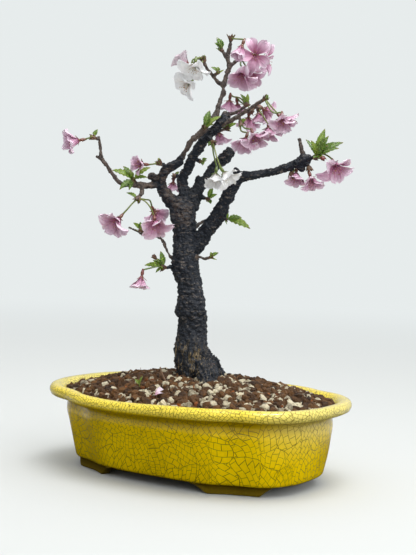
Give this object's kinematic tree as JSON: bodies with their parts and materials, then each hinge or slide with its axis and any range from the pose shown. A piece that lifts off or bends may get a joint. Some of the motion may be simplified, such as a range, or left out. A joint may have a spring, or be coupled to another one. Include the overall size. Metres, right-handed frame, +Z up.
{
  "type": "cherry blossom bonsai",
  "caption": "Small flowering cherry tree with a thick dark trunk, drooping pink blossoms and young leaves, in gritty soil in a lobed oval pot with a crackled yellow glaze.",
  "frame": {"origin": "on the table under the middle of the pot", "axes": "+Z up, +X along the pot's long side, -Y towards the front"},
  "size_m": [0.304, 0.216, 0.4258],
  "materials": {
    "glaze": "gloss yellow glaze with a dark crackle",
    "mesh_plastic": "matte",
    "soil_granules": "matte, brown baked-clay granules and pale pumice",
    "bark": "matte, dark rough bark",
    "green": "satin leaves and flower stalks",
    "petal_pink": "matte petals",
    "petal_pale": "matte petals",
    "petal_white": "matte petals"
  },
  "bodies": {
    "root": {"pot": "glaze", "drain_screen_left": "mesh_plastic", "drain_screen_right": "mesh_plastic", "soil": "soil_granules", "tree_wood": "bark", "spray_far_left": "green", "spray_left": "green", "spray_hanging": "green", "spray_low_left": "green", "spray_crotch": "green", "spray_white": "green", "spray_top_left": "green", "spray_top": "green", "spray_top_right": "green", "spray_mid": "green", "spray_right_front": "green", "spray_right_back": "green", "spray_right_knot": "green", "spray_right_tip": "green", "spray_end": "green", "spray_end_low": "green", "spray_end_under": "green", "spray_elbow": "green", "spray_leader": "green", "spray_low_twig": "green", "spray_top_side": "green", "spray_top_pair": "green", "spray_leader_mid": "green", "spray_stub_base": "green", "spray_large_leaf": "green", "spray_left_twig": "green", "spray_right_spur": "green", "bloom_far_left": "petal_pink", "bloom_left": "petal_pink", "bloom_hanging_left": "petal_pink", "bloom_hanging_right": "petal_pink", "bloom_hanging_back": "petal_pink", "bloom_low_left": "petal_pink", "bloom_crotch": "petal_pink", "bloom_white_left": "petal_white", "bloom_white_right": "petal_white", "bloom_top_left_up": "petal_pale", "bloom_top_left_front": "petal_white", "bloom_top_left_low": "petal_white", "bloom_top": "petal_pink", "bloom_top_right_front": "petal_pink", "bloom_top_right_back": "petal_pink", "bloom_top_right_low": "petal_pink", "bloom_top_right_mid": "petal_pink", "bloom_mid": "petal_pink", "bloom_right_front": "petal_pink", "bloom_right_back": "petal_pink", "bloom_right_low": "petal_pink", "bloom_right_tip_far": "petal_pink", "bloom_right_tip_near": "petal_pink", "bloom_end_far": "petal_pink", "bloom_end_low": "petal_pink", "bloom_end_under": "petal_pink", "bloom_leader_back": "petal_pink"}
  },
  "joints": []
}
